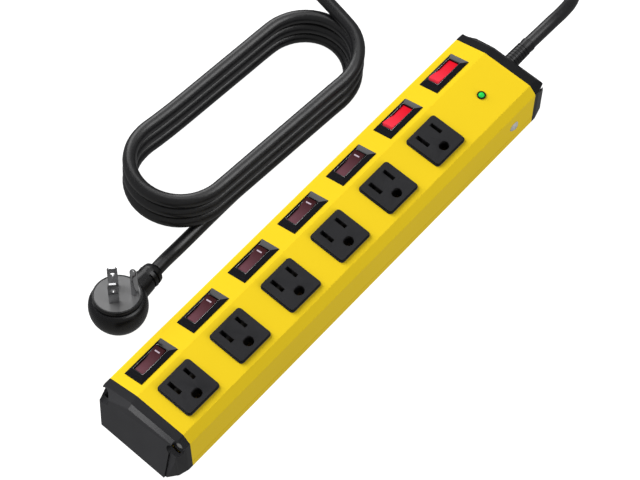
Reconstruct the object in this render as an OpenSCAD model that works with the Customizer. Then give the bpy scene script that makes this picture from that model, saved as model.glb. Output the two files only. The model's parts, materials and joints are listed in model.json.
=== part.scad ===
// Metal-cased power strip: six grounded outlets on a flat top, a lit rocker switch for each on a
// sloped facet, a master rocker and an indicator lamp, with its lead folded in a hank beside it.
// +X runs along the strip towards the cord, +Y is the switch side, +Z is up.
// The origin is the middle of the strip's underside. Lengths are in millimetres.

/* [Case] */
// Length of the sheet-metal case between the two end caps
body_l = 320; // [310:5:340]
// Width of the case
body_w = 66; // [64:1:70]
// Height of the case
body_h = 38.5; // [38:0.5:42]
// Angle that the switch facet slopes down by
tilt = 19; // [17:0.5:20]
// Distance of the ridge between the facets from the centreline
ridge_y = 9.2; // [9:0.1:10]
// Thickness of the case's sheet metal
sheet = 1.2; // [1:0.1:1.4]
// Height of the base tray's outer flange
flange_h = 6.3; // [5:0.1:8]

/* [Outlets] */
// Number of outlets
outlets = 6; // [6]
// Spacing of the outlets and of the switches
pitch = 45; // [44:0.5:46]
// Distance of the outlets' centreline from the case's centreline
row_y = -9.5; // [-10:0.1:-9]
// Width of an outlet's face
face_w = 25.8; // [24.5:0.1:26.2]
// Height of an outlet's face above the case
face_h = 2.6; // [1.8:0.1:3]
// Spacing of the two blade slots
slot_gap = 12.7; // [12.7]
// Distance of the ground hole from the line of the blade slots
ground_gap = 11.9; // [11.9]

/* [Switches] */
// Length of a switch's bezel
bezel_l = 31.2; // [30:0.1:32]
// Width of a switch's bezel
bezel_w = 15.2; // [14.8:0.1:15.6]
// Height of a bezel's rim above the facet
bezel_h = 2; // [1.6:0.1:2.4]
// Length of the opening that a rocker sits in
well_l = 20.8; // [20.6:0.1:21.4]
// Width of the opening that a rocker sits in
well_w = 8.6; // [8.4:0.1:9]
// Angle that a rocker turns by between off and on
throw = 14; // [12:1:16]
// Number of rockers, counted from the cord end, that are drawn switched on
lit = 2; // [0:1:7]

/* [End caps] */
// Depth of an end cap at its foot
cap_d = 17.3; // [16:0.1:19]
// Depth of an end cap's flat top
cap_top = 6; // [5:0.5:7]

/* [Cord and plug] */
// Diameter of the cord
cord_d = 9; // [8:0.5:9]
// Height of the cord where it leaves the end cap
exit_z = 17.5; // [16:0.5:20]
// Radius of the plug's domed body
plug_r = 18.2; // [17:0.1:19]

/* [Wall mounting] */
// Spacing of the two keyholes
keyhole_gap = 254; // [240:1:260]
// Radius of a keyhole's round entry
keyhole_r = 4.5; // [4:0.1:5]

/* [Hidden] */
$fn = 48;

switches = outlets + 1;
half_w = body_w / 2;
half_l = body_l / 2;
first_x = -136;
cut = 60;
gap = 0.1;
chamfer = [5.1, 5.6];
chamfer_a = atan(chamfer[0] / chamfer[1]);
edge_r = 2.5;
edge_y = half_w - edge_r;
edge_z = body_h - (edge_r + (edge_y - ridge_y) * sin(tilt)) / cos(tilt);

// Outlet details, from the face's own centre
face_r = 1.8;
rim_w = 0.7;
rim_h = 1.1;
neck_w = 23.2;
neck_h = 13;
slot_y = 5.1;
hot_slot = [2.2, 7];
neutral_slot = [2.4, 8.2];
ground_r = 3;
ground_flat = 2.6;
web = 3;

// Switch details, in the facet's own frame
switch_dx = -1.2;
switch_v = 11.4;
housing = [26, 12, 15];
well_d = 9;
pivot_z = -0.5;
stub_r = 1.3;
stub_fit = 0.05;
rocker_w = well_w - 0.4;
rocker_r = well_l / 2 - 0.3;
rocker_top = 1.6;
half_throw = throw / 2;

// Contacts and bars under the outlets
carrier_z = 16;
bar_t = 1;
leaf_t = 0.8;
leaf_w = 5;
bar_end = -152;
bar_l = 262;

// Fixings
cap_screw_neg = [-27.9, 30.5];
cap_screw_pos = [28.4, 26];
pocket_r = 4.8;
side_screw = [140, 19.3];
tab_x = 153;
led_x = first_x + outlets * pitch;

// Cord: each free stretch is a hand-laid route, the hank a racetrack of leaning turns
cord_r = cord_d / 2;
relief_end = 196;
relief_r = 5.4;
lead_route = [
    [196, 0, 17.5], [208, -0.3, 17.5], [220, -0.4, 17], [232, 0, 15], [244, 2.2, 11.6],
    [256, 8.5, 8], [266.3, 19, 5.6], [272.5, 34, 4.8], [273.5, 51, 4.7], [269, 70, 4.7],
    [259, 89, 4.7], [245, 108, 4.7], [228, 128, 5], [209.5, 147, 6.5], [190, 160.5, 10],
    [170.5, 165.5, 15], [152, 160.5, 20], [139, 149, 24], [131.5, 134, 27.5],
    [128, 119.5, 29.8]];
tail_route = [
    [-53, 72.6, 4.9], [-63.4, 72.2, 5.8], [-69, 71.8, 6.9], [-74.8, 71.2, 8.3],
    [-82.6, 70.3, 9.8]];
hank_centre = [32.6, 101.3];
hank_half = 54.6;
hank_turn = -3.4;
hank_r = 33.4;
hank_wall = 8;

// Plug: the dome's centre, the lean of the face and the directions of the neck and ground pin
plug_at = [-117.5, 66.5, 17.95];
plug_lean = 13;
plug_lean_axis = [-0.664, 0.747, 0];
plug_neck_turn = 7.2;
plug_pin_turn = -48.4;
plug_foot = -16.5;
plug_shoulder = 7;
plug_face_z = 9.9;
plug_face_r = 15.1;
neck_l = 36;
neck_z = -1.5;
blade = [6.3, 1.5, 17];
blade_x = -3.9;
pin_x = 8;
pin_r = 2.4;
pin_l = 18;

yellow = "#e8c514";
black = "#1d1d1f";
dark = "#2b2b2d";
red = "#c81022";
green = "#22c32f";
brass = "#c9a44c";
steel = "#b9bbbd";

function arc_pts(c, r, a0, a1, n = 6) =
    [for (i = [0:n]) let (a = a0 + (a1 - a0) * i / n) c + r * [cos(a), sin(a)]];

// Case cross-section in Y and Z, drawn t inside the outer face and down to height z0
function case_outline(t, z0) = concat(
    [[-half_w + t, z0]],
    [[-half_w + t, body_h - chamfer[1] - t * tan(chamfer_a / 2)],
        [-half_w + chamfer[0] + t * tan(45 - chamfer_a / 2), body_h - t]],
    [[ridge_y - t * tan(tilt / 2), body_h - t]],
    arc_pts([edge_y, edge_z], edge_r - t, 90 - tilt, 0, 4),
    [[half_w - t, z0]]);

// Rounded square outline, centred
function rounded_square(w, r) = concat(
    arc_pts([w / 2 - r, w / 2 - r], r, 0, 90),
    arc_pts([r - w / 2, w / 2 - r], r, 90, 180),
    arc_pts([r - w / 2, r - w / 2], r, 180, 270),
    arc_pts([w / 2 - r, r - w / 2], r, 270, 360));

function unit(v) = v / norm(v);

// Point on a Catmull-Rom curve through p, from point i on by the fraction t
function curve_pt(p, i, t) =
    let (n = len(p) - 1, a = p[max(i - 1, 0)], b = p[i], c = p[min(i + 1, n)], d = p[min(i + 2, n)])
    0.5 * (2 * b + (c - a) * t + (2 * a - 5 * b + 4 * c - d) * t * t
        + (3 * b - a - 3 * c + d) * t * t * t);

function curve(p, steps) = concat(
    [for (i = [0:len(p) - 2]) for (j = [0:steps - 1]) curve_pt(p, i, j / steps)],
    [p[len(p) - 1]]);

function heading(p, i) = unit(p[min(i + 1, len(p) - 1)] - p[max(i - 1, 0)]);

function ring(c, t, r, sides) =
    let (s = unit(cross(t, [0, 0, 1])), u = cross(s, t))
    [for (k = [0:sides - 1]) let (a = 360 * k / sides) c + r * (cos(a) * s + sin(a) * u)];

// Tube of radius r swept along the points p
module tube(p, r, sides = 10) {
    n = len(p);
    points = [for (i = [0:n - 1]) each ring(p[i], heading(p, i), r, sides)];
    walls = [for (i = [0:n - 2]) for (k = [0:sides - 1])
        let (a = i * sides + k, b = i * sides + (k + 1) % sides)
        [a, b, b + sides, a + sides]];
    ends = [[for (k = [sides - 1:-1:0]) k], [for (k = [0:sides - 1]) (n - 1) * sides + k]];
    polyhedron(points, concat(walls, ends));
}

module along_x(l) {
    rotate([90, 0, 90]) linear_extrude(l, center = true) children();
}

module rod_x(x0, x1, r) {
    translate([min(x0, x1), 0, 0]) rotate([0, 90, 0]) cylinder(r = r, h = abs(x1 - x0));
}

module block(size, at) {
    translate(at - [size[0] / 2, size[1] / 2, 0]) cube(size);
}

// Moves to the middle of switch i, with Z square to the sloped facet
module at_switch(i) {
    translate([first_x + switch_dx + (i - 1) * pitch, ridge_y, body_h])
        rotate([-tilt, 0, 0])
            translate([0, switch_v, 0])
                children();
}

module at_outlet(i) {
    translate([first_x + (i - 1) * pitch, row_y, body_h]) children();
}

module upper_shell() color(yellow) difference() {
    along_x(body_l) polygon(case_outline(0, flange_h + 0.05));
    along_x(body_l + 2) polygon(case_outline(sheet, 0));
    for (i = [1:outlets])
        at_outlet(i) block([neck_w + 2 * gap, neck_w + 2 * gap, cut], [0, 0, -cut / 2]);
    for (i = [1:switches])
        at_switch(i) block([housing[0] + 2 * gap, housing[1] + 2 * gap, 8], [0, 0, -4]);
    translate([led_x, row_y, body_h - 4]) cylinder(r = 2.55, h = 8);
    for (s = [-1, 1])
        translate([side_screw[0], s * half_w, side_screw[1]])
            rotate([90, 0, 0]) cylinder(r = 2.1, h = 8, center = true);
}

// Half of the tray's section: floor, outer flange and inner lip
module tray_section() {
    lip_y = half_w - sheet - 0.05;
    square([lip_y - 0.5, sheet]);
    translate([lip_y - 1, 0]) square([half_w - lip_y + 1, flange_h]);
    translate([lip_y - 1, 0]) square([1, 24]);
}

module keyhole() {
    cylinder(r = keyhole_r, h = 6, center = true);
    translate([0, -2.3, -3]) cube([11, 4.6, 6]);
    translate([11, 0, 0]) cylinder(r = 2.3, h = 6, center = true);
}

module base_plate() color(yellow) difference() {
    union() {
        intersection() {
            along_x(body_l) {
                tray_section();
                mirror([1, 0]) tray_section();
            }
            union() {
                block([body_l, body_w + 2, flange_h], [0, 0, 0]);
                block([2 * (tab_x - 10), body_w + 2, 30], [0, 0, 0]);
            }
        }
        for (s = [-1, 1]) {
            block([sheet, 9, 34], [s * tab_x, -25.5, 0.6]);
            block([sheet, 9, 27.6], [s * tab_x, 27, 0.6]);
        }
    }
    for (s = [-1, 1]) {
        translate([s * keyhole_gap / 2, 0, 0]) keyhole();
        for (p = [cap_screw_neg, cap_screw_pos])
            translate([0, p[0], p[1]]) rod_x(s * (tab_x - 3), s * (tab_x + 3), 1.55);
        translate([side_screw[0], s * half_w, side_screw[1]])
            rotate([90, 0, 0]) cylinder(r = 1.95, h = 8, center = true);
    }
}

// Cap's side view: a flat top, a bevel and a front that flares out towards the foot
module cap_side(inset) {
    polygon([[-1, 0], [cap_d - inset, 0], [cap_top + 2.7 - inset, body_h - 3],
        [cap_top - inset, body_h], [cap_top - inset, body_h + 4], [-1, body_h + 4]]);
}

// Cap's plan: the front corners are cut back in two steps
module cap_plan(inset) {
    polygon([[-1, -half_w - 1], [3.5 - inset, -half_w - 1], [3.5 - inset, -half_w],
        [12 - inset, -30.6], [cap_d - inset, -26.5], [cap_d - inset, 26.5],
        [12 - inset, 30.6], [3.5 - inset, half_w], [3.5 - inset, half_w + 1], [-1, half_w + 1]]);
}

// Bevel that follows the sloped facet across the cap's front
module facet_bevel(inset) {
    translate([0, ridge_y, body_h]) rotate([-tilt, 0, 0])
        translate([0, 50, 0]) rotate([90, 0, 0])
            linear_extrude(100)
                polygon([[-1, -60], [cut, -60], [cap_top + 2.7 - inset + 57, -cut],
                    [cap_top + 2.7 - inset, -3], [cap_top - 0.4 - inset, 0],
                    [cap_top - 0.4 - inset, 5], [-1, 5]]);
}

module cap_form(inset, z0) {
    intersection() {
        translate([cut / 2, 0, 0]) along_x(cut) polygon(case_outline(inset, z0));
        translate([0, half_w + 5, 0]) rotate([90, 0, 0]) linear_extrude(body_w + 10) cap_side(inset);
        translate([0, 0, -1]) linear_extrude(body_h + 5) cap_plan(inset);
        facet_bevel(inset);
    }
}

// End cap with its inner face on X = 0 and its front towards +X
module end_cap() {
    difference() {
        union() {
            difference() {
                cap_form(0, 0);
                translate([-2, 0, 0]) cap_form(2.4, 2);
            }
            intersection() {
                translate([-3, 0, 0]) along_x(8) polygon(case_outline(sheet + gap, 8));
                translate([-3, 0, 20]) cube([6, body_w, 50], center = true);
                difference() {
                    translate([-3, 0, 0]) along_x(8) polygon(case_outline(0, 0));
                    translate([-3, 0, 0]) along_x(12) polygon(case_outline(2.4, -5));
                }
            }
            for (p = [cap_screw_neg, cap_screw_pos])
                translate([0, p[0], p[1]]) intersection() {
                    rod_x(0.5, 5, pocket_r + 1.4);
                    translate([0, -p[0], -p[1]]) cap_form(0, 0);
                }
        }
        for (p = [cap_screw_neg, cap_screw_pos])
            translate([0, p[0], p[1]]) {
                rod_x(-2, 20, 1.7);
                rod_x(3, 20, pocket_r);
            }
        difference() {
            translate([0, cap_screw_neg[0] - 2.5, -1]) cube([30, 5, cap_screw_neg[1]]);
            cap_form(1.4, -2);
        }
    }
}

module end_cap_near() color(black) translate([-half_l, 0, 0]) mirror([1, 0, 0]) end_cap();

module end_cap_cord() color(black) difference() {
    translate([half_l, 0, 0]) end_cap();
    translate([0, 0, exit_z]) rod_x(half_l, half_l + 20, relief_r + gap);
}

// Pan-head screw along X with its head's underside on X = 0
module cap_screw() rotate([0, 90, 0]) {
    translate([0, 0, -11]) cylinder(r = 1.5, h = 11);
    intersection() {
        cylinder(r = 3.1, h = 2.6);
        translate([0, 0, -2.4]) sphere(r = 4.6);
    }
}

module end_cap_screws() color(steel)
    for (s = [0, 1]) mirror([s, 0, 0])
        for (p = [cap_screw_neg, cap_screw_pos])
            translate([half_l + 3, p[0], p[1]]) cap_screw();

module side_screws() color(steel)
    for (s = [0, 1]) mirror([0, s, 0])
        translate([side_screw[0], -half_w, side_screw[1]]) rotate([90, 0, 0]) {
            translate([0, 0, -7]) cylinder(r = 1.85, h = 7);
            intersection() {
                cylinder(r = 3.8, h = 2.2);
                translate([0, 0, -3.6]) sphere(r = 5.4);
            }
        }

// Outlet with its face's centre over the origin and the case's top on Z = 0
module outlet() {
    difference() {
        union() {
            linear_extrude(face_h) polygon(rounded_square(face_w, face_r));
            linear_extrude(rim_h) polygon(rounded_square(face_w + 2 * rim_w, face_r + rim_w));
            block([neck_w, neck_w, neck_h + 0.5], [0, 0, -neck_h]);
        }
        block([hot_slot[0], hot_slot[1], cut], [slot_gap / 2, slot_y, -cut / 2]);
        block([neutral_slot[0], neutral_slot[1], cut], [-slot_gap / 2, slot_y, -cut / 2]);
        translate([0, slot_y - ground_gap, 0]) intersection() {
            cylinder(r = ground_r, h = cut, center = true);
            translate([-cut / 2, -cut + ground_flat, -cut / 2]) cube(cut);
        }
        for (s = [-1, 1])
            block([5.4, 9.6, neck_h], [s * slot_gap / 2, slot_y, face_h - web - neck_h]);
        block([9, 8, neck_h], [0, slot_y - ground_gap, face_h - web - neck_h]);
    }
}

module outlet_n(i) color(dark) at_outlet(i) outlet();

// Bezel frame with sloping sides over a rectangular housing
module switch_bezel() {
    rim_l = well_l + 1.2;
    rim_w = well_w + 1;
    difference() {
        union() {
            intersection() {
                rotate([90, 0, 0]) linear_extrude(bezel_w, center = true)
                    polygon([[-bezel_l / 2, 0], [bezel_l / 2, 0], [bezel_l / 2, 0.4],
                        [rim_l / 2, bezel_h], [-rim_l / 2, bezel_h], [-bezel_l / 2, 0.4]]);
                along_x(bezel_l)
                    polygon([[-bezel_w / 2, 0], [bezel_w / 2, 0], [bezel_w / 2, 0.4],
                        [rim_w / 2, bezel_h], [-rim_w / 2, bezel_h], [-bezel_w / 2, 0.4]]);
            }
            block(housing, [0, 0, -housing[2]]);
        }
        block([well_l, well_w, cut], [0, 0, -well_d]);
        translate([0, 0, pivot_z]) rotate([90, 0, 0])
            cylinder(r = stub_r + stub_fit, h = well_w + 2.8, center = true);
    }
}

module switch_bezel_n(i) color(black) at_switch(i) switch_bezel();

// Rocker about its pivot: two paddles in a shallow V, round ends and a stub on each side
module rocker() {
    rise = rocker_top + 12 * tan(half_throw);
    intersection() {
        rotate([90, 0, 0]) cylinder(r = rocker_r, h = rocker_w, center = true);
        rotate([90, 0, 0]) linear_extrude(rocker_w, center = true)
            polygon([[-12, rise], [-12, -1], [-6, -4], [6, -4], [12, -1], [12, rise],
                [0, rocker_top]]);
    }
    rotate([90, 0, 0]) cylinder(r = stub_r, h = well_w + 2.2, center = true);
}

module rocker_n(i) {
    on = i > switches - lit;
    color(red) at_switch(i) translate([0, 0, pivot_z])
        rotate([0, on ? half_throw : -half_throw, 0]) rocker();
}

module switch_terminals() color(brass)
    for (i = [1:switches]) at_switch(i)
        for (x = [-8, 0, 8])
            block([4.8, 0.8, 7], [x, 0, -housing[2] - 7]);

module led_bezel() color(black) translate([led_x, row_y, body_h]) difference() {
    union() {
        cylinder(r = 2.9, h = 0.9);
        translate([0, 0, -4]) cylinder(r = 2.5, h = 4.4);
    }
    cylinder(r = 2.05, h = 20, center = true);
}

module led_lens() color(green) translate([led_x, row_y, body_h]) {
    translate([0, 0, -9]) cylinder(r = 2, h = 9.2);
    translate([0, 0, 0.2]) intersection() {
        sphere(r = 2);
        cylinder(r = 2, h = 3);
    }
}

module contact_carrier() color(dark) {
    translate([bar_end, -21.5, 13]) cube([bar_l, 24.5, carrier_z - 13]);
    for (x = [bar_end + 6, bar_end + bar_l / 2, bar_end + bar_l - 6])
        for (y = [-18, 0])
            block([6, 4, 13.2 - sheet], [x, y, sheet]);
}

// Bus bar between y0 and y1 with a pair of spring leaves at each outlet
module bus_bar(y0, y1, dx, leaf_y, spread) {
    translate([bar_end + 2, y0, carrier_z]) cube([bar_l - 4, y1 - y0, bar_t]);
    tab_lo = min(y0, leaf_y - leaf_w / 2);
    tab_hi = max(y1, leaf_y + leaf_w / 2);
    for (i = [1:outlets])
        translate([first_x + (i - 1) * pitch + dx, 0, carrier_z]) {
            translate([-spread - leaf_t, tab_lo, 0])
                cube([2 * (spread + leaf_t), tab_hi - tab_lo, bar_t]);
            for (s = [-1, 1])
                block([leaf_t, leaf_w, 16], [s * (spread + leaf_t / 2), leaf_y, 0]);
        }
}

module live_bus_bar() color(brass)
    bus_bar(-0.2, 2.4, slot_gap / 2, row_y + slot_y, 0.7);

module neutral_bus_bar() color(brass)
    bus_bar(-11, -8.4, -slot_gap / 2, row_y + slot_y, 0.7);

module ground_bus_bar() color(brass)
    bus_bar(-21.2, -18.6, 0, row_y + slot_y - ground_gap, 2.3);

module surge_board() color("#1f6b3a") translate([114, -22, 10]) cube([38, 26, 1.6]);

module board_standoffs() color(steel)
    for (x = [118, 148])
        for (y = [-18, 0])
            translate([x, y, sheet]) cylinder(r = 2.5, h = 10 - sheet);

module surge_varistors() color("#2a4fa0")
    for (x = [121, 129, 137])
        translate([x, -15, 17.6]) rotate([0, 90, 0]) cylinder(r = 6, h = 4, center = true);

module filter_capacitor() color("#c8a13a") block([13, 6, 10], [127, 0.5, 11.6]);

module internal_wires() color(dark)
    for (y = [-4.2, 0, 4.2]) translate([0, y * 0.9, exit_z]) {
        rod_x(146.5 - y, 158, 1.2);
        translate([146.5 - y, 0, 0]) sphere(r = 1.2);
        translate([146.5 - y, 0, 11.6 - exit_z]) cylinder(r = 1.2, h = exit_z - 11.6);
    }

module ground_stud() color(steel) translate([118, 16, sheet]) {
    cylinder(r = 4.5, h = 1);
    cylinder(r = 2, h = 9);
    translate([0, 0, 1]) cylinder(r = 3.6, h = 3, $fn = 6);
}

module strain_relief() color(black) translate([0, 0, exit_z]) {
    rod_x(half_l - 2, half_l + 2, 8.5);
    rod_x(half_l, half_l + 14.5, relief_r);
    translate([half_l + 14.5, 0, 0]) rotate([0, 90, 0])
        cylinder(r1 = relief_r, r2 = cord_r + 0.2, h = relief_end - half_l - 14.5);
}

module cord_lead() color(black) tube(curve(lead_route, 3), cord_r);

module cord_tail() color(black) tube(curve(tail_route, 3), cord_r);

module racetrack(r) {
    square([2 * hank_half, 2 * r], center = true);
    for (s = [-1, 1]) translate([s * hank_half, 0]) circle(r = r);
}

// Hank: the ring that the stacked turns fill, lower where only the back runs lie
module cord_hank() color(black)
    translate([hank_centre[0], hank_centre[1], 0]) rotate([0, 0, hank_turn]) difference() {
        linear_extrude(34) racetrack(hank_r + hank_wall);
        translate([0, 0, -1]) linear_extrude(40) racetrack(hank_r - hank_wall);
        translate([-120, 2, 26]) cube([175, 60, 20]);
    }

module at_plug() {
    translate(plug_at) rotate(a = plug_lean, v = plug_lean_axis) children();
}

module plug_body() color(black) at_plug() difference() {
    union() {
        rotate_extrude() polygon(concat(
            [[0, plug_foot]],
            arc_pts([0, 0], plug_r, asin(plug_foot / plug_r), 20, 16),
            [[16.4, plug_shoulder], [0, plug_shoulder]]));
        rotate([0, 0, plug_neck_turn]) translate([0, 0, neck_z]) rotate([0, 90, 0])
            cylinder(r1 = 8.5, r2 = 5.6, h = neck_l);
    }
}

module plug_face() color(dark) at_plug()
    translate([0, 0, plug_shoulder]) cylinder(r = plug_face_r, h = plug_face_z - plug_shoulder);

module at_pins() {
    at_plug() rotate([0, 0, plug_pin_turn]) translate([0, 0, plug_face_z]) children();
}

module plug_blades() color(steel) at_pins()
    for (s = [-1, 1]) difference() {
        block([blade[0], blade[1], blade[2]], [blade_x, s * slot_gap / 2, 0]);
        translate([blade_x, s * slot_gap / 2, 11.5]) rotate([90, 0, 0])
            cylinder(r = 1.6, h = 4, center = true);
    }

module plug_ground_pin() color(steel) at_pins() translate([pin_x, 0, 0]) {
    cylinder(r = pin_r, h = pin_l);
    translate([0, 0, pin_l]) intersection() {
        sphere(r = pin_r);
        cylinder(r = pin_r, h = 4);
    }
}

upper_shell();
base_plate();
end_cap_near();
end_cap_cord();
end_cap_screws();
side_screws();
for (i = [1:outlets]) outlet_n(i);
for (i = [1:switches]) switch_bezel_n(i);
for (i = [1:switches]) rocker_n(i);
switch_terminals();
led_bezel();
led_lens();
contact_carrier();
live_bus_bar();
neutral_bus_bar();
ground_bus_bar();
surge_board();
board_standoffs();
surge_varistors();
filter_capacitor();
internal_wires();
ground_stud();
strain_relief();
cord_lead();
cord_hank();
cord_tail();
plug_body();
plug_face();
plug_blades();
plug_ground_pin();
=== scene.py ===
"""Looks of a metal-cased power strip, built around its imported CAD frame.

Metres, +X along the strip towards the cord end, +Y towards the switches, +Z up.
Lengths written in millimetres are multiplied by MM where they're used.
"""
import json
import math

import bmesh
import bpy
from mathutils import Matrix, Vector


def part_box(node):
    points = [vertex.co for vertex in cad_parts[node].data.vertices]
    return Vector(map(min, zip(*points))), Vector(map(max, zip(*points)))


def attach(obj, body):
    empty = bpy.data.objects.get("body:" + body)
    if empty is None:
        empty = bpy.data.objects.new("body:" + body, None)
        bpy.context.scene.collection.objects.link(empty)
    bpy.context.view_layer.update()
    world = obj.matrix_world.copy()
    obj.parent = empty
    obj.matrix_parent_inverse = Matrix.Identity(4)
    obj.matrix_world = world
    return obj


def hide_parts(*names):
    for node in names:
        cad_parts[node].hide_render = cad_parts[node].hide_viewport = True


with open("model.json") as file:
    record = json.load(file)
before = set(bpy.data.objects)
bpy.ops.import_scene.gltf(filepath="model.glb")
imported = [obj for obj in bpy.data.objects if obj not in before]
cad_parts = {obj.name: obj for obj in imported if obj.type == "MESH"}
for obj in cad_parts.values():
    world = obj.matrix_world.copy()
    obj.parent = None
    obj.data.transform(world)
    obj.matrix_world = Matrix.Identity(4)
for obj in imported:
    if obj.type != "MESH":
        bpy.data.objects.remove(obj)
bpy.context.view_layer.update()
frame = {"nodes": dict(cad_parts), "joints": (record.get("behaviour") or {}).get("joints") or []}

MM = 0.001
ROOT = "root"
OUTLETS = range(1, 7)
SWITCHES = range(1, 8)
LIT = (6, 7)
CORNERS = ((-1, -1), (1, -1), (1, 1), (-1, 1))
scene = bpy.context.scene
joints = {j["child"]: j for j in frame["joints"]}
shell_lo, shell_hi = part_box("upper_shell")
case_end = shell_hi.x / MM
case_top = shell_hi.z / MM
half_w = shell_hi.y / MM


# ---------------------------------------------------------------- shader helpers

NOISE_LOW, NOISE_HIGH = 0.3, 0.7    # where the noise factor mostly lies
GRAIN_DEPTH = 0.00005


def shader(name):
    """A new node material, its tree and its Principled node."""
    mat = bpy.data.materials.new(name)
    mat.use_nodes = True
    tree = mat.node_tree
    return mat, tree, tree.nodes["Principled BSDF"]


def noise(tree, scale, detail=4.0):
    """The factor socket of a noise texture over object space."""
    coords = tree.nodes.new("ShaderNodeTexCoord")
    tex = tree.nodes.new("ShaderNodeTexNoise")
    tex.inputs["Scale"].default_value = scale
    tex.inputs["Detail"].default_value = detail
    tree.links.new(coords.outputs["Object"], tex.inputs["Vector"])
    return tex.outputs["Fac"]


def ramp(tree, fac, stops):
    """A colour ramp over fac; stops are (position, (r, g, b))."""
    node = tree.nodes.new("ShaderNodeValToRGB")
    elements = node.color_ramp.elements
    while len(elements) < len(stops):
        elements.new(0.5)
    for element, (at, colour) in zip(elements, stops):
        element.position = at
        element.color = (*colour, 1)
    tree.links.new(fac, node.inputs["Fac"])
    return node.outputs["Color"]


def map_range(tree, fac, from_low, from_high, low=0.0, high=1.0):
    """fac mapped from one range to another."""
    node = tree.nodes.new("ShaderNodeMapRange")
    limits = {"From Min": from_low, "From Max": from_high, "To Min": low, "To Max": high}
    for name, value in limits.items():
        node.inputs[name].default_value = value
    tree.links.new(fac, node.inputs["Value"])
    return node.outputs["Result"]


def bump(tree, bsdf, height, strength):
    """Relief of one grain's depth on the surface, from a height socket."""
    node = tree.nodes.new("ShaderNodeBump")
    node.inputs["Strength"].default_value = strength
    node.inputs["Distance"].default_value = GRAIN_DEPTH
    tree.links.new(height, node.inputs["Height"])
    tree.links.new(node.outputs["Normal"], bsdf.inputs["Normal"])


def shade(colour, factor):
    return tuple(c * factor for c in colour)


def surface(name, colour, rough, metal=0.0, vary=0.12, grain=900.0, grain_bump=0.15, mottle=40.0,
            specular=0.5):
    """A finish with mottled colour, uneven roughness and a fine grain."""
    mat, tree, bsdf = shader(name)
    mottled = ramp(tree, noise(tree, mottle), [(NOISE_LOW, shade(colour, 1 - vary)),
                                               (NOISE_HIGH, shade(colour, 1 + vary))])
    tree.links.new(mottled, bsdf.inputs["Base Color"])
    fine = noise(tree, grain, 6.0)
    worn = map_range(tree, fine, NOISE_LOW, NOISE_HIGH, rough * 0.85, min(1.0, rough * 1.15))
    tree.links.new(worn, bsdf.inputs["Roughness"])
    bsdf.inputs["Metallic"].default_value = metal
    bsdf.inputs["Specular IOR Level"].default_value = specular
    bump(tree, bsdf, fine, grain_bump)
    return mat


def glow(mat, colour, strength):
    """The material, giving light of its own as well."""
    bsdf = mat.node_tree.nodes["Principled BSDF"]
    bsdf.inputs["Emission Color"].default_value = (*colour, 1)
    bsdf.inputs["Emission Strength"].default_value = strength
    return mat


paint = surface("powder_coat", (0.92, 0.655, 0.018), 0.45, vary=0.025, grain=1400.0, grain_bump=0.08,
                mottle=9.0, specular=0.12)
cap_plastic = surface("cap_plastic", (0.012, 0.012, 0.013), 0.34, grain=2600.0, grain_bump=0.3,
                      specular=0.2)
outlet_plastic = surface("outlet_plastic", (0.018, 0.018, 0.020), 0.36, grain=2200.0,
                         grain_bump=0.2, specular=0.22)
bezel_plastic = surface("bezel_plastic", (0.005, 0.005, 0.007), 0.14, grain=1200.0, grain_bump=0.04,
                        specular=0.35)
lip_plastic = surface("lip_plastic", (0.016, 0.016, 0.018), 0.3, grain=1200.0, grain_bump=0.04)
jacket = surface("cord_jacket", (0.007, 0.007, 0.008), 0.31, grain=300.0, grain_bump=0.05,
                 specular=0.75)
plug_plastic = surface("plug_plastic", (0.006, 0.006, 0.007), 0.28, grain=1500.0, grain_bump=0.08)
plug_insert = surface("plug_insert", (0.145, 0.145, 0.147), 0.2, vary=0.04, grain=2200.0,
                      grain_bump=0.06)
nickel = surface("nickel_plate", (0.60, 0.60, 0.61), 0.2, metal=1.0, vary=0.06, grain=1500.0,
                 grain_bump=0.1)
zinc = surface("zinc_plate", (0.72, 0.72, 0.70), 0.3, metal=0.35, vary=0.06, grain=1500.0,
               grain_bump=0.1)
# A pale pink-grey for the painted highlight near the far end of each unlit rocker.
glint_paint = surface("glint_paint", (0.55, 0.45, 0.52), 0.5, vary=0.05)
brass = surface("brass_strip", (0.30, 0.20, 0.08), 0.4, metal=1.0, vary=0.08)
board_green = surface("solder_mask", (0.02, 0.18, 0.06), 0.35)
component_blue = surface("dipped_epoxy", (0.03, 0.09, 0.40), 0.3)
capacitor_amber = surface("capacitor_case", (0.55, 0.34, 0.05), 0.35)
wire_cover = surface("wire_cover", (0.05, 0.05, 0.052), 0.4)
lamp_green = glow(surface("lamp_green", (0.02, 0.55, 0.08), 0.2, vary=0.05), (0.02, 0.7, 0.08), 0.35)


# ---------------------------------------------------------------- mesh helpers

def add_object(name, data):
    """A new object in the scene."""
    obj = bpy.data.objects.new(name, data)
    scene.collection.objects.link(obj)
    return obj


def mesh_piece(name, verts, faces, mat, body=ROOT, slot=None, replaces=None, smooth=35, at=None,
               solid=True):
    """A mesh from millimetre points, riding on body and standing for the CAD nodes named."""
    data = bpy.data.meshes.new(name)
    data.from_pydata([Vector(v) * MM for v in verts], [], faces)
    return finish_piece(name, data, mat, body, replaces, smooth, at, solid)


def finish_piece(name, data, mat, body, replaces, smooth, at, solid=True):
    bm = bmesh.new()
    bm.from_mesh(data)
    if solid:
        bmesh.ops.recalc_face_normals(bm, faces=bm.faces)
    for face in bm.faces:
        face.smooth = True
    for edge in bm.edges:
        edge.smooth = len(edge.link_faces) == 2 and edge.calc_face_angle() < math.radians(smooth)
    bm.to_mesh(data)
    bm.free()
    obj = add_object(name, data)
    data.materials.append(mat)
    if at is not None:
        obj.matrix_world = at
    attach(obj, body)
    if replaces:
        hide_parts(replaces)
    return obj


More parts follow.
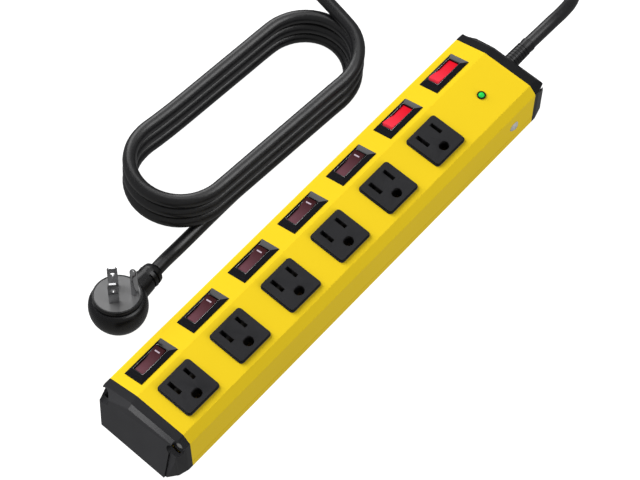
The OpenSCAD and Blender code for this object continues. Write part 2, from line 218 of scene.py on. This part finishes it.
def bevel(obj, width, segments=3, angle=30):
    """Rounds the edges that turn by more than an angle."""
    mod = obj.modifiers.new("Bevel", "BEVEL")
    mod.width = width * MM
    mod.segments = segments
    mod.limit_method = "ANGLE"
    mod.angle_limit = math.radians(angle)
    mod.harden_normals = True
    return obj


def cut_away(obj, bm):
    """Cuts the closed shapes in bm out of a piece, and bakes the result into its mesh."""
    data = bpy.data.meshes.new("cutter")
    bm.to_mesh(data)
    bm.free()
    cutter = add_object("cutter", data)
    mod = obj.modifiers.new("Recess", "BOOLEAN")
    mod.operation = "DIFFERENCE"
    mod.object = cutter
    mod.use_self = True
    bpy.context.view_layer.update()
    carved = bpy.data.meshes.new_from_object(obj.evaluated_get(bpy.context.evaluated_depsgraph_get()))
    obj.modifiers.clear()
    obj.data = carved
    bpy.data.objects.remove(cutter)


def from_cad(node, name, mat, width, body=ROOT, at=None, cuts=(), smooth=30, cad_place=None,
             carve=None):
    """A piece with the CAD node's own outline, its flat faces merged and its edges rounded.

    Each cut is a point in millimetres and a normal, in the piece's own frame: what lies beyond goes.
    A cad_place is the piece's own frame in the CAD model, where that differs from at.
    A carve is a bmesh of closed shapes that are cut away before the edges are rounded.
    """
    place = at or Matrix.Identity(4)
    home = cad_place or place
    bm = bmesh.new()
    bm.from_mesh(frame["nodes"][node].data)
    bmesh.ops.remove_doubles(bm, verts=bm.verts, dist=0.005 * MM)
    bmesh.ops.dissolve_limit(bm, angle_limit=math.radians(1), verts=bm.verts, edges=bm.edges)
    bmesh.ops.transform(bm, matrix=home.inverted(), verts=bm.verts)
    for point, normal in cuts:
        parts = list(bm.verts) + list(bm.edges) + list(bm.faces)
        bmesh.ops.bisect_plane(bm, geom=parts, plane_co=Vector(point) * MM,
                               plane_no=Vector(normal), clear_outer=True)
        bmesh.ops.holes_fill(bm, edges=[e for e in bm.edges if e.is_boundary])
    data = bpy.data.meshes.new(name)
    bm.to_mesh(data)
    bm.free()
    obj = finish_piece(name, data, mat, body, node, smooth, place)
    if carve:
        cut_away(obj, carve)
    return bevel(obj, width)


def arc(cx, cy, r, a0, a1, n):
    """Points of an arc between two angles in degrees."""
    return [(cx + r * math.cos(math.radians(a0 + (a1 - a0) * i / n)),
             cy + r * math.sin(math.radians(a0 + (a1 - a0) * i / n))) for i in range(n + 1)]


def lathe(profile, sides=64):
    """Points and faces of (radius, height) pairs turned about Z; a zero radius is a pole."""
    verts, rows = [], []
    for r, z in profile:
        if r == 0:
            rows.append([len(verts)] * sides)
            verts.append((0, 0, z))
        else:
            rows.append([len(verts) + k for k in range(sides)])
            verts += [(r * math.cos(2 * math.pi * k / sides), r * math.sin(2 * math.pi * k / sides), z)
                      for k in range(sides)]
    faces = []
    for a, b in zip(rows, rows[1:]):
        for k in range(sides):
            m = (k + 1) % sides
            faces.append(list(dict.fromkeys((a[k], a[m], b[m], b[k]))))
    return verts, [f for f in faces if len(f) > 2]


def fillet(corners, steps=5):
    """Points of an open outline whose (y, z, radius) corners are rounded."""
    out = []
    for i, (y, z, r) in enumerate(corners):
        p = Vector((y, z))
        if r == 0:
            out.append((y, z))
            continue
        a = (Vector(corners[i - 1][:2]) - p).normalized()
        b = (Vector(corners[i + 1][:2]) - p).normalized()
        half = a.angle(b) / 2
        centre = p + (a + b).normalized() * (r / math.sin(half))
        start, end = p + a * (r / math.tan(half)) - centre, p + b * (r / math.tan(half)) - centre
        turn = start.angle_signed(end)
        for k in range(steps + 1):
            q = centre + Matrix.Rotation(-turn * k / steps, 2) @ start
            out.append((q.x, q.y))
    return out


# ---------------------------------------------------------------- case and internals

SHEET = 1.2
TILT = math.atan2(-joints["rocker_1"]["axis"][2], joints["rocker_1"]["axis"][1])
RIDGE_Y = 9.2
SEAM_Z = 6.75
EDGE_Z = case_top - (half_w - RIDGE_Y) * math.tan(TILT)
NECK_HALF = 11.7
SWITCH_HALF = (13.1, 6.1)
LAMP_HALF = 2.0
CHAMFER = (5.1, 5.6)
CROWN_R = 0.7
CROWN_BEND = 0.6    # more than the rounding between chamfer and top reaches past their corner
TOP_BAND = 2.0     # an outline point no further than this below the top's low edge belongs to the top
HAIR = 0.01


def centre_of(node):
    """The middle of a CAD node's box, in millimetres."""
    lo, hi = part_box(node)
    return (lo + hi) / 2 / MM


def case_holes():
    """(x0, x1, y0, y1) of each opening in the case's top."""
    holes = []
    for i in OUTLETS:
        c = centre_of(f"outlet_{i}")
        holes.append((c.x - NECK_HALF, c.x + NECK_HALF, c.y - NECK_HALF, c.y + NECK_HALF))
    for i in SWITCHES:
        c = Vector(joints[f"rocker_{i}"]["pos_m"]) / MM
        reach = SWITCH_HALF[1] * math.cos(TILT)
        holes.append((c.x - SWITCH_HALF[0], c.x + SWITCH_HALF[0], c.y - reach, c.y + reach))
    c = centre_of("led_lens")
    holes.append((c.x - LAMP_HALF, c.x + LAMP_HALF, c.y - LAMP_HALF, c.y + LAMP_HALF))
    return holes


def case_shell():
    """The folded sheet: one outline run along X in cells, without the cells at the openings."""
    outline = fillet([(-half_w, SEAM_Z, 0), (-half_w, case_top - CHAMFER[1], 1.6),
                      (-half_w + CHAMFER[0], case_top, CROWN_R), (RIDGE_Y, case_top, 1.2),
                      (half_w, EDGE_Z, 2.5), (half_w, SEAM_Z, 0)])
    holes = case_holes()
    side = [p for p in outline if p[0] < -half_w + CHAMFER[0] + CROWN_BEND]
    rest = outline[len(side):]
    edges = sorted({round(y, 3) for h in holes for y in h[2:]})
    for y in edges:
        z = case_top if y < RIDGE_Y else case_top - (y - RIDGE_Y) * math.tan(TILT)
        rest.append((y, z))
    crown = sorted((p for p in rest if p[0] < half_w - HAIR and p[1] > EDGE_Z - TOP_BAND),
                   key=lambda p: p[0])
    down = [p for p in rest if p not in crown]
    outline = side + crown + down
    stations = sorted({-case_end, case_end, *(x for h in holes for x in h[:2])})
    verts = [(x, y, z) for x in stations for y, z in outline]
    n = len(outline)
    faces = []
    for i in range(len(stations) - 1):
        for k in range(n - 1):
            x, y = (stations[i] + stations[i + 1]) / 2, (outline[k][0] + outline[k + 1][0]) / 2
            on_top = min(outline[k][1], outline[k + 1][1]) > EDGE_Z - TOP_BAND
            if on_top and any(a < x < b and c < y < d for a, b, c, d in holes):
                continue
            faces.append((i * n + k, i * n + k + 1, (i + 1) * n + k + 1, (i + 1) * n + k)[::-1])
    obj = mesh_piece("case_shell", verts, faces, paint, slot="case_yellow", replaces="upper_shell",
                     smooth=40, solid=False)
    wall = obj.modifiers.new("Wall", "SOLIDIFY")
    wall.thickness = SHEET * MM
    wall.offset = -1
    flat = obj.modifiers.new("Flat faces", "WEIGHTED_NORMAL")
    flat.keep_sharp = True
    return obj


# The bright sheet stays out of the glossy cord and plug, so that their blacks stay neutral.
case_shell().visible_glossy = False

PLAIN = {
    "base_plate": paint,
    "switch_terminals": brass, "live_bus_bar": brass, "neutral_bus_bar": brass,
    "ground_bus_bar": brass, "contact_carrier": outlet_plastic, "surge_board": board_green,
    "board_standoffs": nickel, "surge_varistors": component_blue,
    "filter_capacitor": capacitor_amber, "internal_wires": wire_cover, "ground_stud": nickel,
}
for node, mat in PLAIN.items():
    data = frame["nodes"][node].data
    data.materials.clear()
    data.materials.append(mat)
frame["nodes"]["base_plate"].visible_glossy = False

# Rods: how far out from the case's end, Y, lowest and highest Z, radius
POCKET = (8.2, -29.8, 27.0, 46.0, 3.7)
GROOVE = (12.6, -33.2, -1.0, 27.0, 3.2)


def corner_hollows():
    """Upright rods for the open screw pocket of the near cap's -Y corner and the groove below it."""
    bm = bmesh.new()
    for out, y, low, high, radius in (POCKET, GROOVE):
        place = Matrix.Translation(Vector((-case_end - out, y, (low + high) / 2)) * MM)
        bmesh.ops.create_cone(bm, cap_ends=True, segments=40, radius1=radius * MM, radius2=radius * MM,
                              depth=(high - low) * MM, matrix=place)
    return bm


caps = [from_cad(f"end_cap_{end}", f"cap_{end}", cap_plastic, 0.5, smooth=12,
                 carve=hollows) for end, hollows in (("near", corner_hollows()), ("cord", None))]


HEAD_SKIN = 0.05


def cross_recess(obj, heads, arm=1.7, width=0.75, depth=1.3, spin=20, taper=0.45):
    """Cuts a tapered cross into each screw head; heads are (top of the head, outward direction)."""
    bm = bmesh.new()
    for at, out in heads:
        turn = Vector(out).to_track_quat("Z", "Y").to_matrix().to_4x4()
        for angle in (spin, spin + 90):
            place = (Matrix.Translation(Vector(at) * MM) @ turn
                     @ Matrix.Rotation(math.radians(angle), 4, "Z"))
            slab = bmesh.ops.create_cube(bm, size=2 * MM)["verts"]
            for v in slab:
                narrow = taper if v.co.z < 0 else 1.0
                v.co = Vector((v.co.x * arm * narrow, v.co.y * width / 2, v.co.z * depth))
            bmesh.ops.transform(bm, matrix=place, verts=slab)
    cut_away(obj, bm)


def screw_heads(node, axis, per_side):
    """The middle of each screw's outermost face in a node, and its outward direction along an axis."""
    verts = [v.co / MM for v in frame["nodes"][node].data.vertices]
    reach = max(v[axis] for v in verts)
    heads = []
    for side in (-1, 1):
        tops = [v for v in verts if v[axis] * side > reach - HEAD_SKIN]
        across = 1 - axis
        lo, hi = min(v[across] for v in tops), max(v[across] for v in tops)
        for k in range(per_side):
            near = [v for v in tops if per_side == 1 or (v[across] > (lo + hi) / 2) == bool(k)]
            centre = sum(near, Vector()) / len(near)
            out = Vector((0, 0, 0))
            out[axis] = side
            heads.append((centre, out))
    return heads


cross_recess(from_cad("end_cap_screws", "cap_screw_set", zinc, 0.1),
             screw_heads("end_cap_screws", 0, 2))
cross_recess(from_cad("side_screws", "side_screw_set", zinc, 0.1),
             screw_heads("side_screws", 1, 1))
from_cad("led_bezel", "lamp_ring", bezel_plastic, 0.25)
from_cad("led_lens", "lamp_lens", lamp_green, 0.1)

SLOT_Y = 5.1
SLOT_X = 6.35
HOT_SLOT = (1.3, 4.4)
NEUTRAL_SLOT = (1.4, 5.0)
GROUND_Y = -6.8
GROUND_R = 3.4
GROUND_ARC = (120, 420)
MOUTH_REACH = 60


def outlet_mouths(c):
    """Prisms for an outlet's two slots and for its ground hole, round with one flat side."""
    mouths = [[(c.x + side * SLOT_X + sx * half[0], c.y + SLOT_Y + sy * half[1]) for sx, sy in CORNERS]
              for side, half in ((1, HOT_SLOT), (-1, NEUTRAL_SLOT))]
    bm = bmesh.new()
    for outline in mouths + [arc(c.x, c.y + GROUND_Y, GROUND_R, *GROUND_ARC, 20)]:
        foot = bm.faces.new([bm.verts.new((x * MM, y * MM, 0)) for x, y in outline])
        raised = bmesh.ops.extrude_face_region(bm, geom=[foot])["geom"]
        bmesh.ops.translate(bm, vec=(0, 0, MOUTH_REACH * MM),
                            verts=[v for v in raised if isinstance(v, bmesh.types.BMVert)])
    bmesh.ops.recalc_face_normals(bm, faces=bm.faces)
    return bm


outlets = [from_cad(f"outlet_{i}", f"outlet_face_{i}", outlet_plastic, 0.35,
                    carve=outlet_mouths(centre_of(f"outlet_{i}"))) for i in OUTLETS]


# ---------------------------------------------------------------- switches

ROCKER_REACH = 10.0


def rocker_shader(name, far, near, specular, light=0.0):
    """Translucent red whose colour runs along the rocker, from its near end to its far end: the lighter,
    greyer near end is a painted sheen, standing for light that the near half catches.
    """
    mat, tree, bsdf = shader(name)
    coords = tree.nodes.new("ShaderNodeTexCoord")
    axes = tree.nodes.new("ShaderNodeSeparateXYZ")
    tree.links.new(coords.outputs["Object"], axes.inputs["Vector"])
    along = map_range(tree, axes.outputs["X"], -ROCKER_REACH * MM, ROCKER_REACH * MM)
    colour = ramp(tree, along, [(0.0, near), (1.0, far)])
    tree.links.new(colour, bsdf.inputs["Base Color"])
    fine = noise(tree, 500.0)
    tree.links.new(map_range(tree, fine, NOISE_LOW, NOISE_HIGH, 0.10, 0.16), bsdf.inputs["Roughness"])
    bump(tree, bsdf, fine, 0.05)
    bsdf.inputs["Specular IOR Level"].default_value = specular
    if light:
        tree.links.new(colour, bsdf.inputs["Emission Color"])
        bsdf.inputs["Emission Strength"].default_value = light
    return mat


# The near colour of each rocker is a painted sheen, lighter than the red it fades into: purple-grey on
# the unlit rockers, pinker on the lit ones.
rocker_dark = rocker_shader("rocker_dark", (0.030, 0.002, 0.003), (0.15, 0.055, 0.072), 0.4)
rocker_lit = rocker_shader("rocker_lit", (0.62, 0.004, 0.015), (0.74, 0.035, 0.06), 0.1, 0.3)

ROCKER_TOP = 1.6
HALF_THROW = math.radians(max(joints["rocker_1"]["range_deg"])) / 2
LIP_HALF = (10.7, 4.55)
LIP_Z = 2.5
LIP_R = 0.25
# Place and size of the painted highlight bar on an unlit rocker.
GLINT_AT = 6.6
GLINT_HALF = (0.45, 2.1)
GLINT_Z = (-0.3, 0.08)


def lip_mesh():
    """A half-round bead round the opening that a rocker sits in, in the pivot's frame."""
    profile = [(LIP_R * math.cos(math.radians(a)), LIP_R * math.sin(math.radians(a)))
               for a in range(0, 181, 20)]
    verts = [(sx * (LIP_HALF[0] + du), sy * (LIP_HALF[1] + du), LIP_Z + dz)
             for du, dz in profile for sx, sy in CORNERS]
    n = len(profile)
    faces = [(4 * i + k, 4 * i + (k + 1) % 4, 4 * ((i + 1) % n) + (k + 1) % 4, 4 * ((i + 1) % n) + k)
             for i in range(n) for k in range(4)]
    return verts, faces


def glint_mesh():
    """A flat pale bar near the far end of a rocker, mostly sunk in its sloping top: a painted highlight
    where the rocker's top catches light.
    """
    verts = [(GLINT_AT + sx * GLINT_HALF[0], sy * GLINT_HALF[1],
              ROCKER_TOP + (GLINT_AT + sx * GLINT_HALF[0]) * math.tan(HALF_THROW) + lift)
             for lift in GLINT_Z for sx, sy in CORNERS]
    faces = [(3, 2, 1, 0), (4, 5, 6, 7)] + [(k, (k + 1) % 4, (k + 1) % 4 + 4, k + 4) for k in range(4)]
    return verts, faces


bezels, lips = [], []
for i in SWITCHES:
    joint = joints[f"rocker_{i}"]
    side = Vector(joint["axis"]).normalized()
    up = Vector((1, 0, 0)).cross(side)
    pivot = Matrix((Vector((1, 0, 0)), side, up)).transposed().to_4x4()
    pivot.translation = joint["pos_m"]
    bezels.append(from_cad(f"switch_bezel_{i}", f"bezel_{i}", bezel_plastic, 0.25,
                           at=pivot))
    lips.append(mesh_piece(f"bezel_lip_{i}", *lip_mesh(), lip_plastic, slot="gloss_black", at=pivot,
                           smooth=50))
    from_cad(f"rocker_{i}", f"rocker_face_{i}", rocker_lit if i in LIT else rocker_dark,
             0.3, body=f"rocker_{i}", at=pivot)
    # Unlit rockers get a pale bar near their far end, a painted highlight.
    if i not in LIT:
        tilt_now = Matrix.Rotation(-HALF_THROW, 4, "Y")
        bevel(mesh_piece(f"rocker_glint_{i}", *glint_mesh(), glint_paint, body=f"rocker_{i}",
                         at=pivot @ tilt_now), 0.05, 2)


# ---------------------------------------------------------------- cord

# The route repeats the CAD's, in millimetres.
CORD_D = 9.0
LEAD_ROUTE = [
    (196, 0, 17.5), (208, -0.3, 17.5), (220, -0.4, 17), (232, 0, 15), (244, 2.2, 11.6),
    (256, 8.5, 8), (266.3, 19, 5.6), (272.5, 34, 4.8), (273.5, 51, 4.7), (269, 70, 4.7),
    (259, 89, 4.7), (245, 108, 4.7), (228, 128, 5), (209.5, 147, 6.5), (190, 160.5, 10),
    (170.5, 165.5, 15), (152, 160.5, 20), (139, 149, 24), (131.5, 134, 27.5),
    (128, 119.5, 29.8)]
LAST_RUN = [(60, 70.2, 4.6), (40, 71.3, 4.6), (15, 72.4, 4.6), (-10, 73, 4.6), (-32, 73, 4.6)]
TAIL_ROUTE = [(-53, 72.6, 4.9), (-63.4, 72.2, 5.8), (-69, 71.8, 6.9), (-74.8, 71.2, 8.3),
              (-82.6, 70.3, 9.8)]
HANK_CENTRE = Vector((35.6, 102.6))
HANK_HALF = 54.6
HANK_R = 33.4
HANK_TURN = math.radians(-3.4)
HANK_LEAN = Vector((-1.9, -0.9))
HANK_STEP = 8.8
HANK_START, HANK_END = 0.125, 3.24
STACKED = 3
DROP_FROM, DROP_OVER = 0.58, 0.24    # the part of a turn where the cord steps down a level
FLOOR_Z = 4.6
TUCK = 5.5
PER_TURN = 36
CURVE_STEPS = 3


def smooth_step(t):
    """0 to 1 as t goes from 0 to 1, level at both ends."""
    t = min(1.0, max(0.0, t))
    return t * t * (3 - 2 * t)


def racetrack(phase):
    """The point of a racetrack at a phase from 0 to 1: right end, near run, left end, back run."""
    bend, run = math.pi * HANK_R, 2 * HANK_HALF
    s = (phase % 1.0) * 2 * (bend + run)
    if s < bend:
        a = math.pi / 2 - s / HANK_R
        return Vector((HANK_HALF + HANK_R * math.cos(a), HANK_R * math.sin(a)))
    if s < bend + run:
        return Vector((HANK_HALF - (s - bend), -HANK_R))
    if s < 2 * bend + run:
        a = -math.pi / 2 - (s - bend - run) / HANK_R
        return Vector((-HANK_HALF + HANK_R * math.cos(a), HANK_R * math.sin(a)))
    return Vector((-HANK_HALF + (s - 2 * bend - run), HANK_R))


def hank_point(s):
    """The cord's centre after s turns: three stacked turns, then a last bend down on the floor."""
    p = Matrix.Rotation(HANK_TURN, 2) @ racetrack(s) + HANK_CENTRE + HANK_LEAN * s
    level = int(s)
    if level < STACKED:
        z = FLOOR_Z + HANK_STEP * (STACKED - level - smooth_step((s - level - DROP_FROM) / DROP_OVER))
    else:
        z = FLOOR_Z
        p.y += TUCK * smooth_step((s - STACKED) / DROP_OVER)
    return (p.x, p.y, z)


def catmull_rom(points, steps):
    """Points on the smooth curve through the given ones."""
    pts = [Vector(p) for p in points]
    out = []
    for i in range(len(pts) - 1):
        a, b, c, d = pts[max(i - 1, 0)], pts[i], pts[i + 1], pts[min(i + 2, len(pts) - 1)]
        for j in range(steps):
            t = j / steps
            out.append(0.5 * (2 * b + (c - a) * t + (2 * a - 5 * b + 4 * c - d) * t * t
                              + (3 * b - a - 3 * c + d) * t ** 3))
    return out + [pts[-1]]


turns = round((HANK_END - HANK_START) * PER_TURN)
hank = [hank_point(HANK_START + (HANK_END - HANK_START) * k / turns) for k in range(turns + 1)]
route = catmull_rom(LEAD_ROUTE + hank + LAST_RUN + TAIL_ROUTE, CURVE_STEPS)

cord_data = bpy.data.curves.new("mains_cord", "CURVE")
cord_data.dimensions = "3D"
spline = cord_data.splines.new("POLY")
spline.points.add(len(route) - 1)
for point, p in zip(spline.points, route):
    point.co = (*(p * MM), 1)
cord_data.bevel_depth = CORD_D / 2 * MM
cord_data.bevel_resolution = 6
cord_data.use_fill_caps = True
cord = add_object("mains_cord", cord_data)
cord_data.materials.append(jacket)
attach(cord, ROOT)
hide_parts("cord_lead", "cord_hank", "cord_tail")


# ---------------------------------------------------------------- strain relief and plug

# CAD_PLUG holds the CAD plug's place, its turn about its own axis and the height of its face. The
# visual plug is shifted and turned a little from it.
CAD_PLUG = (Vector((-117.5, 66.5, 17.95)), math.radians(-48.4), 9.9)
PLUG_AT = CAD_PLUG[0] + Vector((-0.8, 0.9, 0))
PLUG_LEAN = (math.radians(13), Vector((-0.664, 0.747, 0)))
NECK_TURN = math.radians(5.7)
PIN_TURN = math.radians(-43.0)
NECK_Z = -1.5
NECK_END = 35.0
DISC_TOP = 10.9
PINS_SHIFT = 2.0
PIN_X = 8.6


def pins_frame(at, turn, top):
    """The frame of the blades and pin: on the plug's face, with X towards the ground pin."""
    return (Matrix.Translation(at * MM) @ Matrix.Rotation(PLUG_LEAN[0], 4, PLUG_LEAN[1])
            @ Matrix.Rotation(turn, 4, "Z") @ Matrix.Translation((0, 0, top * MM)))


plug_place = Matrix.Translation(PLUG_AT * MM) @ Matrix.Rotation(PLUG_LEAN[0], 4, PLUG_LEAN[1])
pin_place = pins_frame(PLUG_AT, PIN_TURN, DISC_TOP) @ Matrix.Translation((PINS_SHIFT * MM, 0, 0))
neck_place = (plug_place @ Matrix.Rotation(NECK_TURN, 4, "Z")
              @ Matrix.Translation((0, 0, NECK_Z * MM)) @ Matrix.Rotation(math.radians(90), 4, "Y"))

DOME_R = 18.6
DOME_FOOT = 16.5
dome = [(0, -DOME_FOOT)] + arc(0, 0, DOME_R, -math.degrees(math.asin(DOME_FOOT / DOME_R)), 8, 22)
dome += [(18.1, 4.3), (17.5, 5.7), (16.5, 6.7), (15.4, 7.1), (14.6, 7.2), (14.5, 8.1), (15.2, 8.2),
         (15.5, 8.6), (15.5, 10.3), (15.3, 10.8), (14.9, 10.95), (14.5, 10.9), (14.4, 10.6), (0, 10.6)]
dome_piece = mesh_piece("plug_dome", *lathe(dome, 96), plug_plastic, slot="plug_black",
                        replaces="plug_body", at=plug_place)
face_piece = mesh_piece("plug_disc", *lathe([(0, 10.3), (14.3, 10.3), (14.3, 10.75), (14.1, DISC_TOP),
                                             (0, DISC_TOP)], 96), plug_insert,
                        slot="plug_grey", replaces="plug_face", at=plug_place)


def neck_mesh(sides=72):
    """The moulded neck about Z, with a pair of slots across each flank near its far end."""
    lip, slot_depth = 0.05, 1.3
    rows = [(0, 9.2, 0), (12, 8.9, 0), (18, 8.4, 0), (24, 7.9, 0)]
    for a, b in ((26.2, 27.6), (30.0, 31.4)):
        rows += [(a - lip, 7.7, 0), (a + lip, 7.6, slot_depth), (b - lip, 7.6, slot_depth),
                 (b + lip, 7.4, 0)]
    rows += [(33.2, 7.2, 0), (34.4, 6.9, 0), (NECK_END, 6.2, 0), (NECK_END, 4.6, 0)]
    verts, faces = [], []
    for z, r, depth in rows:
        for k in range(sides):
            a = 2 * math.pi * k / sides
            flank = smooth_step((abs(math.sin(a)) - 0.45) / 0.1)
            radius = r - depth * flank
            verts.append((radius * math.cos(a), radius * math.sin(a), z))
    for row in range(len(rows) - 1):
        for k in range(sides):
            m = (k + 1) % sides
            faces.append((row * sides + k, row * sides + m, (row + 1) * sides + m,
                          (row + 1) * sides + k))
    faces.append(tuple(range(sides))[::-1])
    faces.append(tuple((len(rows) - 1) * sides + k for k in range(sides)))
    return verts, faces


neck_piece = mesh_piece("plug_neck", *neck_mesh(), plug_plastic, slot="plug_black", at=neck_place)

BLADE_X = -3.9
BLADE_HALF = 3.15
BLADE_TOP = 17.0
CLIP = 0.6
blade_cuts = [((BLADE_X + side * (BLADE_HALF - CLIP), 0, BLADE_TOP - CLIP), (side * 0.8, 0, 0.6))
              for side in (-1, 1)]
blades = from_cad("plug_blades", "plug_blade_pair", nickel, 0.2, at=pin_place, cuts=blade_cuts,
                  cad_place=pins_frame(*CAD_PLUG))


PIN_SHEET = 0.8


def ground_pin_mesh(r=2.6, straight=16.8, top=21.2, opening=42, around=26):
    """A pin rolled from sheet: open along the side that faces the blades, rounded over at its top."""
    heights = [0, 4, 8, 12, straight]
    heights += [straight + (top - straight) * math.sin(math.radians(15 * k)) for k in range(1, 6)]
    verts, faces = [], []
    for z in heights:
        t = max(0.0, (z - straight) / (top - straight))
        radius = r * math.sqrt(1 - t * t)
        for k in range(around + 1):
            a = math.radians(180 + opening + (360 - 2 * opening) * k / around)
            verts.append((PIN_X + radius * math.cos(a), radius * math.sin(a), z))
    n = around + 1
    for row in range(len(heights) - 1):
        for k in range(around):
            faces.append((row * n + k, row * n + k + 1, (row + 1) * n + k + 1, (row + 1) * n + k))
    return verts, faces


ground_pin = mesh_piece("plug_rolled_pin", *ground_pin_mesh(), nickel, slot="nickel",
                        replaces="plug_ground_pin", at=pin_place, solid=False, smooth=60)
pin_wall = ground_pin.modifiers.new("Wall", "SOLIDIFY")
pin_wall.thickness = PIN_SHEET * MM
pin_wall.offset = -1

relief_lo, relief_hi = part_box("strain_relief")
relief_len = (relief_hi.x - relief_lo.x) / MM
relief_place = (Matrix.Translation((relief_lo.x, 0, (relief_lo.z + relief_hi.z) / 2))
                @ Matrix.Rotation(math.radians(90), 4, "Y"))
RIB_PITCH = 2.4
RIB_DEPTH = 0.35
ribs = int((relief_len - 7) / RIB_PITCH)
relief = [(0, 0), (8.3, 0), (8.5, 0.2), (8.5, 3.8), (8.3, 4)]
for k in range(ribs):
    r, z = 5.45 - 0.5 * k / ribs, 5 + RIB_PITCH * k
    relief += [(r, z), (r, z + 0.6 * RIB_PITCH), (r - RIB_DEPTH, z + 0.68 * RIB_PITCH),
               (r - RIB_DEPTH, z + 0.92 * RIB_PITCH)]
relief += [(4.95, relief_len - 1.5), (4.95, relief_len - 0.2), (4.75, relief_len), (0, relief_len)]
relief_piece = mesh_piece("strain_boot", *lathe(relief, 64), plug_plastic, slot="plug_black",
                          replaces="strain_relief", at=relief_place)


# ---------------------------------------------------------------- floor, light and camera

FLOOR_HALF = 4.0
floor_data = bpy.data.meshes.new("floor")
floor_data.from_pydata([(sx * FLOOR_HALF, sy * FLOOR_HALF, 0) for sx, sy in CORNERS], [], [(0, 1, 2, 3)])
floor = add_object("floor", floor_data)
floor.location = (0, 0, -0.0002)
paper = surface("floor_paper", (0.30, 0.30, 0.30), 0.9, vary=0.005, specular=0.0)
floor_data.materials.append(glow(paper, (1, 1, 1), 1.0))
floor.visible_glossy = floor.visible_diffuse = False

scene.view_settings.view_transform = "Standard"
world = bpy.data.worlds.new("studio")
world.use_nodes = True
world.node_tree.nodes["Background"].inputs["Color"].default_value = (1, 1, 1, 1)
world.node_tree.nodes["Background"].inputs["Strength"].default_value = 0.22
scene.world = world


def area_light(name, azimuth, elevation, distance, size, power, diffuse=True, glossy=True,
               about=(0, 0, 0), only=()):
    """A square light aimed at a point, azimuth turning from +X towards +Y.

    Where only names pieces, the light falls on those alone.
    """
    data = bpy.data.lights.new(name, "AREA")
    data.shape = "SQUARE"
    data.size = size
    data.energy = power
    obj = add_object(name, data)
    a, e = math.radians(azimuth), math.radians(elevation)
    direction = Vector((math.cos(a) * math.cos(e), math.sin(a) * math.cos(e), math.sin(e)))
    obj.location = Vector(about) + direction * distance
    obj.rotation_mode = "QUATERNION"
    obj.rotation_quaternion = direction.to_track_quat("Z", "Y")
    obj.visible_diffuse, obj.visible_glossy = diffuse, glossy
    if only:
        group = bpy.data.collections.new(f"{name}_falls_on")
        for piece in only:
            group.objects.link(piece)
        obj.light_linking.receiver_collection = group


# The photo's studio shows in the black pieces as soft bands. Each card makes one of them, and falls
# only on the pieces that show it.
cord_set = [cord, dome_piece, face_piece, neck_piece, relief_piece, blades, ground_pin]
near_cap = (shell_lo.x, 0, shell_hi.z / 2)
area_light("key", 95, 33, 2.2, 2.0, 65, glossy=False)
area_light("fill", -80, 30, 2.2, 1.6, 27, glossy=False)
area_light("cap_fill", 172, 40, 0.35, 0.15, 2.5, glossy=False, about=near_cap, only=caps)
area_light("sky_card", 35, 66, 1.6, 1.1, 3, diffuse=False, only=cord_set + outlets)
area_light("strand_card", -41, 62, 1.6, 0.9, 6.5, diffuse=False, only=cord_set)
area_light("far_card", 62, 24, 1.7, 1.0, 7, diffuse=False, only=cord_set)
area_light("slope_card", 46, 12, 1.5, 0.85, 5, diffuse=False, only=bezels)
area_light("lip_card", -41, 62, 1.5, 0.7, 60, diffuse=False, only=lips)
area_light("lip_end_card", 138, 62, 1.5, 0.7, 60, diffuse=False, only=lips)
area_light("bevel_card", 161, 17, 1.5, 0.50, 9, diffuse=False, only=caps + outlets + bezels)

AZIMUTH, ELEVATION = math.radians(-48.37), math.radians(62.0)
LENS = 123.99
DISTANCE = 1.38227
SHIFT_RIGHT, SHIFT_UP = -0.00584, 0.00969
back = Vector((math.sin(AZIMUTH) * math.cos(ELEVATION), -math.cos(AZIMUTH) * math.cos(ELEVATION),
               math.sin(ELEVATION)))
right = Vector((math.cos(AZIMUTH), math.sin(AZIMUTH), 0))
up = back.cross(right)
camera_data = bpy.data.cameras.new("camera")
camera_data.sensor_width = 36
camera_data.lens = LENS
camera_data.clip_start, camera_data.clip_end = 0.05, 30
camera = add_object("camera", camera_data)
place = Matrix((right, up, back)).transposed().to_4x4()
place.translation = back * DISTANCE + right * SHIFT_RIGHT + up * SHIFT_UP
camera.matrix_world = place
scene.camera = camera
